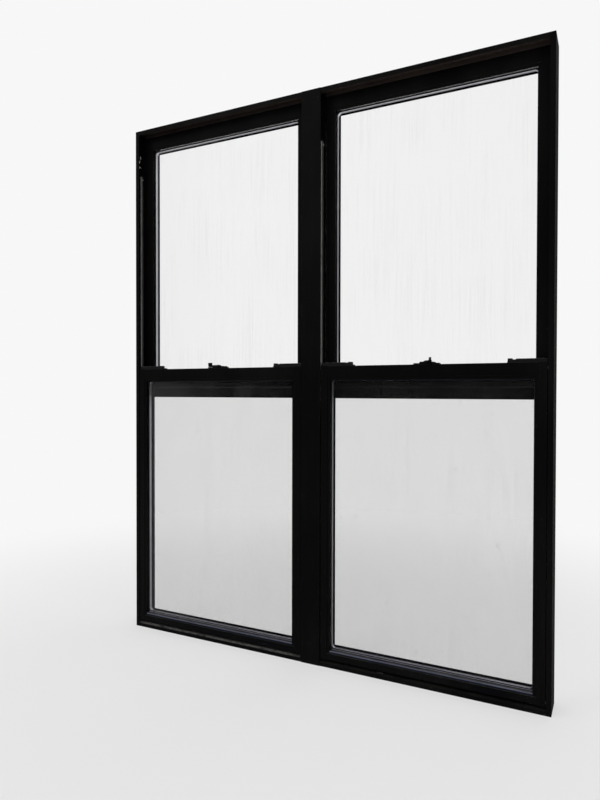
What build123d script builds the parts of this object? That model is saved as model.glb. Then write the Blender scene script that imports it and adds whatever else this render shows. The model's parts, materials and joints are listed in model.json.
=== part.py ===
from build123d import *
import os

# Twin double-hung window in aluminium: two units side by side on one mull bar, seen from the room.
# X runs along the wall, Y from the room (-Y) to the outside (+Y), Z up from the foot of the frame.

# Frame
unit_width = 686.0
frame_height = 1790.0
frame_depth = 85.0
mull_gap = 38.0
frame_wall = 2.0
leg_reach = 14.0
room_leg = 2.0
guide_leg = 1.6
cope_gap = 0.2

# Sill, with its bevelled room-side nosing
sill_face = 11.0
sill_ledge = 15.5
sill_bevel_depth = 8.0
sill_back = 6.0
sill_skin = 2.0
sill_floor_end = 36.0

# Mull
mull_wall = 3.0
mull_setback = 12.0
cover_thickness = 1.6
cover_return = 9.0
cover_clip_set = 3.0

# Sashes
sash_thickness = 34.0
sash_set = 1.0
track_gap = 3.0
side_gap = 1.5
stile_face = 31.5
sash_wall = 1.8
bead_width = 9.0
bead_set = 1.5
edge_round = 0.8
lip_rise = 3.0
lip_thickness = 2.3
glass_bite = 10.0
pocket_gap = 1.0
sill_gap = 6.5
head_gap = 8.0
meeting_overlap = 65.0
meeting_set = 1.5
travel_stop = 211.0
lower_bottom_rail = 31.0
lower_top_rail = 43.0
upper_bottom_rail = 62.0
upper_top_rail = 55.0
foot_chamfer = 3.0
drip_leg = 4.0
drip_drop = 4.5

# Sealed glass units
pane = 3.0
spacer_depth = 13.0
spacer_width = 8.0
spacer_corner = 12.0
edge_seal = 2.0
block_lift = 3.7

# Balances
tube_diameter = 9.5
tube_bore = 7.7
tube_set = 7.2
tube_depth = 23.5
tube_clear = 38.0
tube_rise = 10.0
lower_tube_drop = 156.0
upper_tube_drop = 90.0
tube_cap = 3.0
lower_rod_diameter = 7.0
upper_rod_diameter = 6.0
rod_overlap = 40.0
shoe_height = 40.0
shoe_gap = 0.6
pivot_rise = 9.0
pivot_depth = 12.0
pivot_radius = 4.9
pivot_clearance = 0.15
pivot_tail = 6.0
plate_width = 18.0
plate_thickness = 2.0

# Sash locks
lock_length = 78.0
lock_plate_width = 22.0
lock_plate = 4.0
lock_height = 8.0
hub_radius = 21.5
lock_axis = 23.5
lock_back = 10.5
lock_roof = 2.8
cam_radius = 19.5
cam_half_angle = 15.0
cam_rise = 1.2
cam_thickness = 3.2
cam_clearance = 0.8
cam_wall = 2.0
shaft_radius = 4.0
shaft_clearance = 0.15
lever_gap = 0.3
lever_thickness = 2.7
lever_root = 9.0
lever_tip = 5.0
lever_reach = 41.0
fin_length = 15.0
fin_thickness = 3.5
fin_height = 8.5
left_lever_angle = 180.0
right_lever_angle = 300.0
screw_inset = 6.0
screw_hole = 2.2

# Keepers
keeper_length = 40.0
keeper_depth = 10.0
keeper_plate = 2.0
keeper_roof = 2.4
keeper_slot = 6.6
keeper_back = 2.0
keeper_set = 2.0

# Tilt latches
latch_length = 80.0
latch_step = 22.0
latch_width = 27.0
latch_height = 11.0
latch_step_height = 4.0
latch_set = 3.0
latch_round = 2.5
bolt_width = 12.5
bolt_height = 4.5
bolt_set = 4.0
bolt_clearance = 0.3
bolt_tip = 1.0
pad_length = 12.0
pad_rise = 3.0

# Insect screens
screen_thickness = 8.0
screen_gap = 0.4
screen_side = 12.0
screen_foot = 22.0
screen_head = 35.0
screen_skin = 0.5

# Fixing holes through the outer jambs
fixing_radius = 3.5
fixing_depth = 10.0
fixing_end = 150.0
fixing_middle = 550.0

room_face = -frame_depth / 2
unit_pitch = unit_width + mull_gap
unit_half = unit_width / 2
leg_edge = unit_half - leg_reach
sash_half = leg_edge - side_gap
sight_half = sash_half - stile_face
lower_face = room_face + sash_set
upper_face = lower_face + sash_thickness + track_gap
upper_back = upper_face + sash_thickness
guide_face = lower_face + sash_thickness + (track_gap - guide_leg) / 2
outer_leg = upper_back + side_gap / 2
screen_face = outer_leg + guide_leg + screen_gap
pack_depth = 2 * pane + spacer_depth
pack_set = sash_thickness - lip_thickness - pack_depth
pocket = glass_bite + pocket_gap
lower_bottom = sill_ledge + sill_gap
upper_top = frame_height - head_gap
lower_top = (lower_bottom + upper_top + meeting_overlap) / 2 - meeting_set
upper_bottom = lower_top - meeting_overlap
sash_travel = lower_top - lower_bottom - travel_stop
lower_tube_foot = lower_bottom + shoe_height + sash_travel + tube_clear
lower_tube_top = frame_height - lower_tube_drop
upper_tube_foot = upper_bottom + shoe_height + tube_rise
upper_tube_top = frame_height - upper_tube_drop
fixing_heights = (
    fixing_end,
    (frame_height - fixing_middle) / 2,
    (frame_height + fixing_middle) / 2,
    frame_height - fixing_end,
)
units = {"left": -unit_pitch / 2, "right": unit_pitch / 2}
sides = {"left": -1, "right": 1}
leg_faces = (
    (room_face, room_leg),
    (guide_face, guide_leg),
    (outer_leg, guide_leg),
    (-room_face - guide_leg, guide_leg),
)


def outline(points, rounded=(), radius=edge_round):
    """Face through the points, with the named corners eased."""
    face = make_face(Polyline(*points, close=True)).face()
    if not rounded:
        return face
    corners = []
    for x, y in rounded:
        corners += [v for v in face.vertices() if abs(v.X - x) < 1e-6 and abs(v.Y - y) < 1e-6]
    return face.fillet_2d(radius, corners)


def block(x0, x1, y0, y1, z0, z1):
    """Box between two corners."""
    size = (abs(x1 - x0), abs(y1 - y0), abs(z1 - z0))
    return Pos((x0 + x1) / 2, (y0 + y1) / 2, (z0 + z1) / 2) * Box(*size)


def upright(face, z0, z1):
    """Extrusion of a plan outline from one height to another."""
    return Pos(0, 0, z0) * extrude(face, z1 - z0, dir=(0, 0, 1))


def level(face, x0, x1):
    """Extrusion along X of an outline drawn with Y across and Z up."""
    return Pos(x0, 0, 0) * extrude(Plane.YZ * face, x1 - x0, dir=(1, 0, 0))


def cylinder_z(x, y, z0, z1, radius):
    """Upright cylinder."""
    return Pos(x, y, (z0 + z1) / 2) * Cylinder(radius, z1 - z0)


def cylinder_x(x0, x1, y, z, radius):
    """Cylinder along X."""
    return Pos((x0 + x1) / 2, y, z) * Rot(0, 90, 0) * Cylinder(radius, abs(x1 - x0))


def leg_section(reach):
    """Comb section of the frame, as (outward distance, Y) corners, with its legs at the track edges."""
    points = [(0, room_face)]
    for face_y, thickness in leg_faces:
        if face_y > room_face:
            points.append((frame_wall, face_y))
        points += [(reach, face_y), (reach, face_y + thickness)]
        if face_y + thickness < -room_face - 0.001:
            points.append((frame_wall, face_y + thickness))
    points.append((0, -room_face))
    return points


def jamb_solid(centre, side, growth=0.0):
    """Upright frame member, whose legs guide both sashes and the screen."""
    points = []
    for reach, y in leg_section(leg_reach):
        points.append((centre + side * (unit_half - reach), y))
    solid = upright(outline(points), 0, frame_height)
    if growth:
        for face_y, thickness in leg_faces:
            y0, y1 = face_y - growth, face_y + thickness + growth
            inner, outer = centre + side * (leg_edge - growth), centre + side * (unit_half + growth)
            solid += block(inner, outer, y0, y1, -growth, frame_height + growth)
        wall = centre + side * (unit_half - frame_wall - growth), centre + side * (unit_half + growth)
        solid += block(*wall, room_face - growth, -room_face + growth, -growth, frame_height + growth)
    return solid


def jamb(centre, side, drilled):
    """Jamb, with fixing holes where it stands against the wall."""
    solid = jamb_solid(centre, side)
    if drilled:
        for height in fixing_heights:
            reach = (centre + side * (leg_edge + 1), centre + side * (unit_half + 1))
            solid -= cylinder_x(min(reach), max(reach), room_face + fixing_depth, height, fixing_radius)
    return solid


def head(centre):
    """Top frame member, coped round the legs of the jambs."""
    points = [(y, frame_height - reach) for reach, y in leg_section(leg_reach)]
    solid = level(outline(points), centre - unit_half, centre + unit_half)
    for side in sides.values():
        solid -= jamb_solid(centre, side, cope_gap)
    return solid


def sill(centre):
    """Bottom frame member: bevelled nosing, level ledge under the lower sash and a fall to the outside."""
    floor_end = room_face + sill_floor_end
    top = [
        (room_face, sill_face),
        (room_face + sill_bevel_depth, sill_ledge),
        (floor_end, sill_ledge),
        (-room_face, sill_back),
    ]
    under = [(-room_face, 0), (-room_face - sill_skin, 0), (-room_face - sill_skin, sill_back - sill_skin)]
    under += [(floor_end + sill_skin, sill_ledge - 2 * sill_skin), (floor_end + sill_skin, 0), (floor_end, 0)]
    under += [(floor_end, sill_ledge - sill_skin), (room_face + sill_bevel_depth, sill_ledge - sill_skin)]
    under += [(room_face + sill_skin, sill_face - sill_skin), (room_face + sill_skin, 0), (room_face, 0)]
    solid = level(outline(top + under), centre - unit_half, centre + unit_half)
    for side in sides.values():
        solid -= jamb_solid(centre, side, cope_gap)
    return solid


def mull_bar():
    """Two-cell bar that joins the two units and stiffens them."""
    half = mull_gap / 2
    front, back = room_face + mull_setback, -room_face
    bar = upright(outline([(-half, front), (half, front), (half, back), (-half, back)]), 0, frame_height)
    for y0, y1 in ((front + mull_wall, -mull_wall / 2), (mull_wall / 2, back - mull_wall)):
        bar -= block(-half + mull_wall, half - mull_wall, y0, y1, -1, frame_height + 1)
    return bar


def mull_cover():
    """Flat room-side cover over both inner jambs, with two clip legs that reach into the gap."""
    half = mull_gap / 2 + leg_reach
    front = room_face - cover_thickness
    clip = mull_gap / 2 - cover_clip_set
    plate = outline(
        [(-half, front), (half, front), (half, room_face), (-half, room_face)],
        [(-half, front), (half, front)],
    )
    cover = upright(plate, 0, frame_height)
    for side in sides.values():
        inner, outer = side * (clip - cover_thickness), side * clip
        cover += block(inner, outer, room_face, room_face + cover_return, 0, frame_height)
    return cover


def member_section(face_width, deep_cell=True):
    """Sash section: (distance from the outer edge, depth) corners of the wall and of its hollow."""
    pack_back = pack_set + pack_depth
    shell = [
        (0, 0),
        (face_width - bead_width, 0),
        (face_width - bead_width, bead_set),
        (face_width, bead_set),
        (face_width, pack_set),
        (face_width - pocket, pack_set),
        (face_width - pocket, pack_back),
        (face_width + lip_rise, pack_back),
        (face_width + lip_rise, sash_thickness),
        (0, sash_thickness),
    ]
    cell = [
        (sash_wall, sash_wall),
        (face_width - pocket - sash_wall, sash_wall),
        (face_width - pocket - sash_wall, sash_thickness - sash_wall),
        (sash_wall, sash_thickness - sash_wall),
    ]
    return shell, cell


def stile(centre, side, face_y, z0, z1, pin_height):
    """Upright sash member, hollow, with a glazing pocket and a hole for its pivot bar."""
    shell, cell = member_section(stile_face)

    def plan(points):
        return [(centre + side * (sash_half - u), face_y + v) for u, v in points]

    soft = plan([(0, 0), (stile_face - bead_width, 0)])
    solid = upright(outline(plan(shell), soft), z0, z1)
    solid -= upright(outline(plan(cell)), z0 - 1, z1 + 1)
    inside, outside = centre + side * (sash_half - sash_wall - 1), centre + side * (sash_half + 1)
    hole = pivot_radius + pivot_clearance
    y = face_y + pivot_depth - sash_set
    return solid - cylinder_x(min(inside, outside), max(inside, outside), y, pin_height, hole)


def stile_blank(centre, side, face_y, z0, z1):
    """Outline of a stile with no hollow, to cope the rails round it."""
    shell, _ = member_section(stile_face)
    points = [(centre + side * (sash_half - u), face_y + v) for u, v in shell]
    return upright(outline(points), z0 - 1, z1 + 1)


def rail(centre, face_y, edge_z, up, face_width, z0, z1, foot=False):
    """Level sash member, coped to both stiles; up is +1 where its glass lies above it."""
    shell, cell = member_section(face_width)
    if foot:
        drop = [(-drip_drop, sash_thickness), (-drip_drop, sash_thickness - drip_leg)]
        shell = [(foot_chamfer, 0)] + shell[1:-1] + drop + [(0, sash_thickness - drip_leg), (0, foot_chamfer)]
    shell = [(face_y + v, edge_z + up * w) for w, v in shell]
    cell = [(face_y + v, edge_z + up * w) for w, v in cell]
    soft = [(face_y, edge_z + up * (face_width - bead_width))]
    if not foot:
        soft.append((face_y, edge_z))
    solid = level(outline(shell, soft), centre - sash_half, centre + sash_half)
    if foot:
        cell = [(max(y, face_y + foot_chamfer), z) for y, z in cell]
    solid -= level(outline(cell), centre - sash_half, centre + sash_half)
    for side in sides.values():
        solid -= stile_blank(centre, side, face_y, z0, z1)
    return max(solid.solids(), key=lambda piece: piece.volume)


def glass_box(sight_low, sight_high):
    """Lowest and highest edge of a sealed unit, lifted on its setting blocks."""
    low = sight_low + block_lift - spacer_width - edge_seal
    return low, sight_high + spacer_width + edge_seal


def panes(centre, face_y, sight_low, sight_high):
    """Both panes of a sealed unit."""
    low, high = glass_box(sight_low, sight_high)
    half = sight_half + spacer_width + edge_seal
    pair = []
    for v in (pack_set, pack_set + pane + spacer_depth):
        pair.append(block(centre - half, centre + half, face_y + v, face_y + v + pane, low, high))
    return Compound(pair)


def spacer(centre, face_y, sight_low, sight_high):
    """Bent spacer bar between the panes, with round corners."""
    low, high = glass_box(sight_low, sight_high)
    low, high = low + edge_seal, high - edge_seal
    width, height = 2 * (sight_half + spacer_width), high - low
    inner = RectangleRounded(width - 2 * spacer_width, height - 2 * spacer_width, spacer_corner)
    ring = RectangleRounded(width, height, spacer_corner + spacer_width) - inner
    bar = extrude(Plane.XZ * ring, spacer_depth, dir=(0, 1, 0))
    return Pos(centre, face_y + pack_set + pane, (low + high) / 2) * bar


def pivot_bars(centre, face_y, pin_height):
    """Pair of pivot bars: a pin out of each stile, on a plate inside the stile."""
    bars = []
    for side in sides.values():
        plate_outer = sash_half - sash_wall
        pin_end = centre + side * (sash_half + leg_reach - frame_wall - pivot_tail / 2)
        plate_face = centre + side * plate_outer
        plate_back = centre + side * (plate_outer - plate_thickness)
        y = face_y + pivot_depth - sash_set
        pin = cylinder_x(min(pin_end, plate_face), max(pin_end, plate_face), y, pin_height, pivot_radius)
        reach = pivot_radius + plate_thickness / 2
        low, high = pin_height - reach, pin_height + reach
        plate = block(plate_face, plate_back, y - reach, y - reach + plate_width, low, high)
        bars.append(pin + plate)
    return Compound(bars)


def shoes(centre, face_y, foot_z, pin_height):
    """Pair of balance shoes that run in the tracks and hold the pivot bars."""
    pair = []
    for side in sides.values():
        inner = centre + side * (leg_edge + shoe_gap)
        outer = centre + side * (unit_half - frame_wall - shoe_gap / 2)
        front = face_y - sash_set + room_leg + shoe_gap
        back = face_y + sash_thickness + (track_gap - guide_leg) / 2 - shoe_gap
        shoe = block(inner, outer, front, back, foot_z, foot_z + shoe_height)
        y = face_y + pivot_depth - sash_set
        bore = pivot_radius + pivot_clearance
        shoe -= cylinder_x(min(inner, outer) - 1, max(inner, outer) + 1, y, pin_height, bore)
        pair.append(shoe)
    return Compound(pair)


def rods(centre, face_y, low, high, diameter):
    """Pair of balance rods, from the shoes up into the tubes."""
    y = face_y + tube_depth - sash_set
    places = [centre + side * (unit_half - tube_set) for side in sides.values()]
    return Compound([cylinder_z(x, y, low, high, diameter / 2) for x in places])


def balance_tubes():
    """Eight balance tubes in the tracks, open below and capped above."""
    tubes = []
    runs = ((lower_face, lower_tube_foot, lower_tube_top), (upper_face, upper_tube_foot, upper_tube_top))
    for centre in units.values():
        for side in sides.values():
            for face_y, low, high in runs:
                x, y = centre + side * (unit_half - tube_set), face_y + tube_depth - sash_set
                tube = cylinder_z(x, y, low, high, tube_diameter / 2)
                tubes.append(tube - cylinder_z(x, y, low - 1, high - tube_cap, tube_bore / 2))
    return Compound(tubes)


def sector(radius, middle, half_angle):
    """Plan outline of a cam lobe about the origin, with its middle at the given angle."""
    start = Vector(radius, 0).rotate(Axis.Z, middle - half_angle)
    top = Vector(radius, 0).rotate(Axis.Z, middle)
    end = Vector(radius, 0).rotate(Axis.Z, middle + half_angle)
    edges = [Line((0, 0), start), ThreePointArc(start, top, end), Line(end, (0, 0))]
    return make_face(edges).face()


def lock_base(centre):
    """Housing of a sash lock: screw wings and a round hub with a cavity for the cam."""
    y = lower_face + lock_axis - sash_set
    wings = upright(RectangleRounded(lock_length, lock_plate_width, lock_plate_width / 3), 0, lock_plate)
    hub = cylinder_z(0, 0, 0, lock_height, hub_radius)
    body = wings + fillet(hub.edges().group_by(Axis.Z)[-1], edge_round * 2)
    body -= block(-lock_length, lock_length, lock_back, hub_radius + lock_back, -1, lock_height + 1)
    cavity = cylinder_z(0, 0, -1, lock_height - lock_roof, cam_radius + cam_clearance)
    body -= cavity
    body -= cylinder_z(0, 0, 0, lock_height + 1, shaft_radius + shaft_clearance)
    for side in sides.values():
        x = side * (lock_length / 2 - screw_inset)
        body -= cylinder_z(x, 0, -1, lock_plate + 1, screw_hole)
    return Pos(centre, y, lower_top) * body


def lock_cam(centre, angle):
    """Flat cam plate on the lever's shaft, whose lobe turns under the keeper's roof."""
    y = lower_face + lock_axis - sash_set
    z = lower_top + cam_rise
    lobe = upright(sector(cam_radius, 90, cam_half_angle), 0, cam_thickness)
    lobe += cylinder_z(0, 0, 0, cam_thickness, shaft_radius + cam_wall)
    lobe -= cylinder_z(0, 0, -1, cam_thickness + 1, shaft_radius)
    return Pos(centre, y, z) * Rot(0, 0, angle) * lobe


def lock_lever(centre, angle):
    """Lever with its upright fin and its shaft in one casting; angle gives its direction in plan."""
    y = lower_face + lock_axis - sash_set
    foot = lock_height + lever_gap
    root, tip = Circle(lever_root), Pos(lever_reach - lever_tip, 0) * Circle(lever_tip)
    arm = upright(make_hull((root + tip).edges()), foot, foot + lever_thickness)
    arm += cylinder_z(0, 0, cam_rise, foot + lever_thickness / 2, shaft_radius)
    fin = block(
        lever_reach - fin_length,
        lever_reach,
        -fin_thickness / 2,
        fin_thickness / 2,
        foot + lever_thickness / 2,
        foot + lever_thickness + fin_height,
    )
    arm += fillet(fin.edges().group_by(Axis.Z)[-1], edge_round)
    return Pos(centre, y, lower_top) * Rot(0, 0, angle) * arm


def keeper(centre):
    """Keeper on the upper sash: a plate, a back wall and a roof that the cam turns under."""
    y0 = upper_face + keeper_set
    height = keeper_plate + keeper_slot + keeper_roof
    z0 = upper_bottom + upper_bottom_rail
    bar = block(centre - keeper_length / 2, centre + keeper_length / 2, y0, y0 + keeper_depth, z0, z0 + height)
    slot = block(
        centre - keeper_length,
        centre + keeper_length,
        y0 - 1,
        y0 + keeper_depth - keeper_back,
        z0 + keeper_plate,
        z0 + keeper_plate + keeper_slot,
    )
    return bar - slot


def latch_housings(centre):
    """Pair of tilt latch housings on the ends of the lower sash's top rail."""
    pair = []
    y0 = lower_face + latch_set
    bolt_y = lower_face + bolt_set
    for side in sides.values():
        outer, inner = centre + side * sash_half, centre + side * (sash_half - latch_length)
        step = centre + side * (sash_half - latch_length - latch_step)
        raised = block(outer, inner, y0, y0 + latch_width, lower_top, lower_top + latch_height)
        tops = raised.edges().group_by(Axis.Z)[-1]
        raised = fillet([edge for edge in tops if edge.length > latch_width / 2], latch_round)
        low = block(inner, step, y0, y0 + latch_width, lower_top, lower_top + latch_step_height)
        channel = block(
            outer + side,
            inner - side,
            bolt_y - bolt_clearance,
            bolt_y + bolt_width + bolt_clearance,
            lower_top + latch_step_height,
            lower_top + latch_step_height + bolt_height + 2 * bolt_clearance,
        )
        pair.append(raised + low - channel)
    return Compound(pair)


def latch_bolt(centre, side):
    """Sliding bolt of a tilt latch with its finger pad, drawn back into the housing."""
    tip = centre + side * (sash_half - bolt_tip)
    tail = centre + side * (sash_half - latch_length - latch_step + 1)
    y0 = lower_face + bolt_set
    z0 = lower_top + latch_step_height + bolt_clearance
    bolt = block(tip, tail, y0, y0 + bolt_width, z0, z0 + bolt_height)
    pad = block(tail, tail + side * pad_length, y0, y0 + bolt_width, z0, z0 + bolt_height + pad_rise)
    pad = fillet(pad.edges().filter_by(Axis.Y).group_by(Axis.Z)[-1], pad_rise / 2)
    return bolt + pad


def screen_frame(centre):
    """Four bars of an insect screen's frame, in the outermost track."""
    half = unit_half - frame_wall - screen_gap
    y0, y1 = screen_face, screen_face + screen_thickness
    foot = sill_ledge - sill_skin * 2
    low, high = foot + screen_foot, upper_bottom - screen_head
    bars = [
        block(centre - half, centre + half, y0, y1, foot, low),
        block(centre - half, centre + half, y0, y1, high, upper_bottom),
    ]
    for side in sides.values():
        bars.append(block(centre + side * half, centre + side * (half - screen_side), y0, y1, low, high))
    return bars


def insect_mesh(centre):
    """Sheet of insect mesh, held between the bars of its frame."""
    half = unit_half - frame_wall - screen_gap - screen_side
    y = screen_face + screen_thickness / 2
    low, high = sill_ledge - sill_skin * 2 + screen_foot, upper_bottom - screen_head
    return block(centre - half, centre + half, y - screen_skin / 2, y + screen_skin / 2, low, high)


def sash(parts, name, centre, face_y, ends, rails, foot):
    """All fixed pieces of one sash; ends and rails hold its foot first and its top second."""
    low, high = ends
    foot_rail, top_rail = rails
    pin = low + pivot_rise
    for label, side in sides.items():
        parts[f"{name}_stile_{label}"] = stile(centre, side, face_y, low, high, pin)
    parts[f"{name}_bottom_rail"] = rail(centre, face_y, low, 1, foot_rail, low, high, foot)
    parts[f"{name}_top_rail"] = rail(centre, face_y, high, -1, top_rail, low, high)
    sight = low + foot_rail, high - top_rail
    parts[f"{name}_glass"] = panes(centre, face_y, *sight)
    parts[f"{name}_spacer"] = spacer(centre, face_y, *sight)
    parts[f"{name}_pivot_bars"] = pivot_bars(centre, face_y, pin)
    parts[f"{name}_shoes"] = shoes(centre, face_y, low, pin)


def build():
    """Every piece of the window by name."""
    parts = {}
    for name, centre in units.items():
        parts[f"outer_jamb_{name}"] = jamb(centre, sides[name], True)
        lower_ends, lower_rails = (lower_bottom, lower_top), (lower_bottom_rail, lower_top_rail)
        upper_ends, upper_rails = (upper_bottom, upper_top), (upper_bottom_rail, upper_top_rail)
        sash(parts, f"{name}_lower", centre, lower_face, lower_ends, lower_rails, True)
        sash(parts, f"{name}_upper", centre, upper_face, upper_ends, upper_rails, False)
        foot, top = lower_bottom + shoe_height, lower_tube_foot + rod_overlap
        parts[f"{name}_lower_rods"] = rods(centre, lower_face, foot, top, lower_rod_diameter)
        foot, top = upper_bottom + shoe_height, upper_tube_foot + sash_travel + rod_overlap
        parts[f"{name}_upper_rods"] = rods(centre, upper_face, foot, top, upper_rod_diameter)
        parts[f"{name}_lock_base"] = lock_base(centre)
        parts[f"{name}_keeper"] = keeper(centre)
        parts[f"{name}_latch_housings"] = latch_housings(centre)
        for label, side in sides.items():
            parts[f"{name}_latch_bolt_{label}"] = latch_bolt(centre, side)
    for name, angle in (("left", left_lever_angle), ("right", right_lever_angle)):
        parts[f"{name}_lock_lever"] = lock_lever(units[name], angle)
        parts[f"{name}_lock_cam"] = lock_cam(units[name], angle)
    parts["inner_jambs"] = Compound([jamb(centre, -sides[name], False) for name, centre in units.items()])
    parts["heads"] = Compound([head(centre) for centre in units.values()])
    parts["sills"] = Compound([sill(centre) for centre in units.values()])
    parts["mull_bar"] = mull_bar()
    parts["mull_cover"] = mull_cover()
    parts["balance_tubes"] = balance_tubes()
    parts["screen_frames"] = Compound([bar for centre in units.values() for bar in screen_frame(centre)])
    parts["insect_mesh"] = Compound([insect_mesh(centre) for centre in units.values()])
    return parts


if __name__ == "__main__":
    os.makedirs("parts", exist_ok=True)
    for node, shape in build().items():
        export_step(shape, f"parts/{node}.step")
        print(node, round(shape.volume))
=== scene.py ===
import json
import math
import random

import bmesh
import bpy
from bpy.props import FloatProperty, FloatVectorProperty, IntProperty, PointerProperty
from bpy.types import Operator, Panel, PropertyGroup
from mathutils import Matrix, Vector


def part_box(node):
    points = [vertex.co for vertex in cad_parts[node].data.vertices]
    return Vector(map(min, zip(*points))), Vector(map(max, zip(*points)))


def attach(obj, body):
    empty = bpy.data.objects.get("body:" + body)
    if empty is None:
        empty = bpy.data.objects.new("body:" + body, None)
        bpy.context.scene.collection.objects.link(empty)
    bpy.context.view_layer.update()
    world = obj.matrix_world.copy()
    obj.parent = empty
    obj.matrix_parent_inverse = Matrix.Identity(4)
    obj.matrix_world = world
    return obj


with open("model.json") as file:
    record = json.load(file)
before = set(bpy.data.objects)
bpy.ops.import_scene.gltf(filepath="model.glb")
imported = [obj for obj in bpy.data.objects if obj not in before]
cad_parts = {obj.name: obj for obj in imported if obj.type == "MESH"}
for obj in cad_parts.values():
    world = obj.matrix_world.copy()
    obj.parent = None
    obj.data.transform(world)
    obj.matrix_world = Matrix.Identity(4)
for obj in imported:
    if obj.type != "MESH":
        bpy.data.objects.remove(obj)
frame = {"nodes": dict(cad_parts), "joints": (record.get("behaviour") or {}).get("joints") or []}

bl_info = {
    "name": "Sash window",
    "version": (1, 0, 0),
    "blender": (4, 5, 0),
    "location": "View3D > Sidebar > Sash window",
    "description": "Finishes and small parts of a twin double-hung window",
    "category": "Object",
}

NODES = frame["nodes"]
UNITS = ("left", "right")
SIDES = {"left": -1, "right": 1}
# Degrees from the x axis that each unit's lever points to at rest
LEVER_ANGLES = {"left": 180, "right": 300}


# Sizes and looks


class SashWindowLooks(PropertyGroup):
    """Tones and wear of the finishes."""

    coat_tone: FloatProperty(
        name="Coat tone",
        description="Albedo of the black coat",
        default=0.0014,
        min=0,
    )
    coat_gloss: FloatProperty(
        name="Coat roughness",
        description="Roughness of the clean coat",
        default=0.42,
    )
    coat_specular: FloatProperty(
        name="Coat specular",
        description="Specular level of the coat",
        default=0.03,
    )
    grain: FloatProperty(
        name="Grain",
        description="Size of the coat's texture",
        default=0.0005,
        unit="LENGTH",
    )
    dust: FloatProperty(
        name="Dust",
        description="Share of dust on level faces",
        default=0.6,
        subtype="FACTOR",
    )
    wear: FloatProperty(
        name="Wear",
        description="Share of worn paint on edges",
        default=0.35,
        subtype="FACTOR",
    )
    glass_haze: FloatProperty(
        name="Glass haze",
        description="Share of light that a clean face takes",
        default=0.018,
    )
    glass_dirt: FloatProperty(
        name="Glass dirt",
        description="Opacity of the heaviest streaks",
        default=0.13,
    )
    thread_pitch: FloatProperty(
        name="Mesh pitch",
        description="Thread spacing",
        default=0.0014,
        unit="LENGTH",
    )
    thread_width: FloatProperty(
        name="Thread width",
        description="Thread width",
        default=0.00022,
        unit="LENGTH",
    )
    dust_tone: FloatVectorProperty(
        name="Dust tone",
        description="Colour of the dust on the coat",
        default=(0.34, 0.325, 0.30),
        subtype="COLOR",
    )
    tube_tone: FloatVectorProperty(
        name="Tube tone",
        description="Colour of the balance tubes",
        default=(0.48, 0.47, 0.45),
        subtype="COLOR",
    )
    clip_tone: FloatVectorProperty(
        name="Clip tone",
        description="Colour of the broken clip",
        default=(0.42, 0.40, 0.37),
        subtype="COLOR",
    )


class SashWindowTrim(PropertyGroup):
    """Sizes of the small parts."""

    gasket: FloatProperty(
        name="Gasket",
        description="Leg of the glazing gasket",
        default=0.0022,
        unit="LENGTH",
    )
    pile: FloatProperty(
        name="Pile",
        description="Height of the pile strip",
        default=0.006,
        unit="LENGTH",
    )
    screw_radius: FloatProperty(
        name="Screw head",
        description="Radius of a screw head",
        default=0.0034,
        unit="LENGTH",
    )
    screw_rise: FloatProperty(
        name="Screw rise",
        description="Height of a screw head",
        default=0.0013,
        unit="LENGTH",
    )
    spline: FloatProperty(
        name="Spline",
        description="Width of the screen's spline",
        default=0.0036,
        unit="LENGTH",
    )
    seed: IntProperty(name="Seed", description="Seed of the broken pieces", default=7)


class SashWindowStage(PropertyGroup):
    """Camera, floor and lights."""

    lens: FloatProperty(
        name="Lens",
        description="Focal length on a 36 mm long side",
        default=27.99,
        unit="CAMERA",
    )
    eye: FloatVectorProperty(
        name="Eye",
        description="Place of the camera",
        default=(0.851, -1.7875, 0.854),
        subtype="TRANSLATION",
    )
    pan: FloatProperty(
        name="Pan",
        description="Turn to the left",
        default=math.radians(26.97),
        subtype="ANGLE",
    )
    tilt: FloatProperty(
        name="Tilt",
        description="Turn up from the floor",
        default=math.radians(89.23),
        subtype="ANGLE",
    )
    roll: FloatProperty(
        name="Roll",
        description="Turn about the view",
        default=math.radians(0.11),
        subtype="ANGLE",
    )
    world: FloatProperty(name="World", description="Strength of the surrounding light", default=0.62)
    backdrop: FloatProperty(name="Backdrop", description="Brightness of the background", default=0.93)
    key: FloatProperty(name="Key", description="Power of the key light", default=26.0, unit="POWER")


# Shader maths


class Value:
    """An output in a node tree that can stand in a formula."""

    def __init__(self, graph, socket):
        self.graph = graph
        self.socket = socket

    def __add__(self, other):
        return self.graph.math("ADD", self, other)

    def __radd__(self, other):
        return self.graph.math("ADD", other, self)

    def __sub__(self, other):
        return self.graph.math("SUBTRACT", self, other)

    def __rsub__(self, other):
        return self.graph.math("SUBTRACT", other, self)

    def __mul__(self, other):
        return self.graph.math("MULTIPLY", self, other)

    def __rmul__(self, other):
        return self.graph.math("MULTIPLY", other, self)

    def __truediv__(self, other):
        return self.graph.math("DIVIDE", self, other)

    def __rtruediv__(self, other):
        return self.graph.math("DIVIDE", other, self)

    def __pow__(self, other):
        return self.graph.math("POWER", self, other)

    def __abs__(self):
        return self.graph.math("ABSOLUTE", self)

    def __gt__(self, other):
        return self.graph.math("GREATER_THAN", self, other)

    def __lt__(self, other):
        return self.graph.math("LESS_THAN", self, other)

    def clamp(self):
        """The value held between 0 and 1."""
        return self.graph.math("ADD", self, 0.0, clamp=True)

    def wave(self, period):
        """Distance from the middle between two multiples of period, as a share of it."""
        return abs(self.graph.math("FRACT", self / period) - 0.5)


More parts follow.
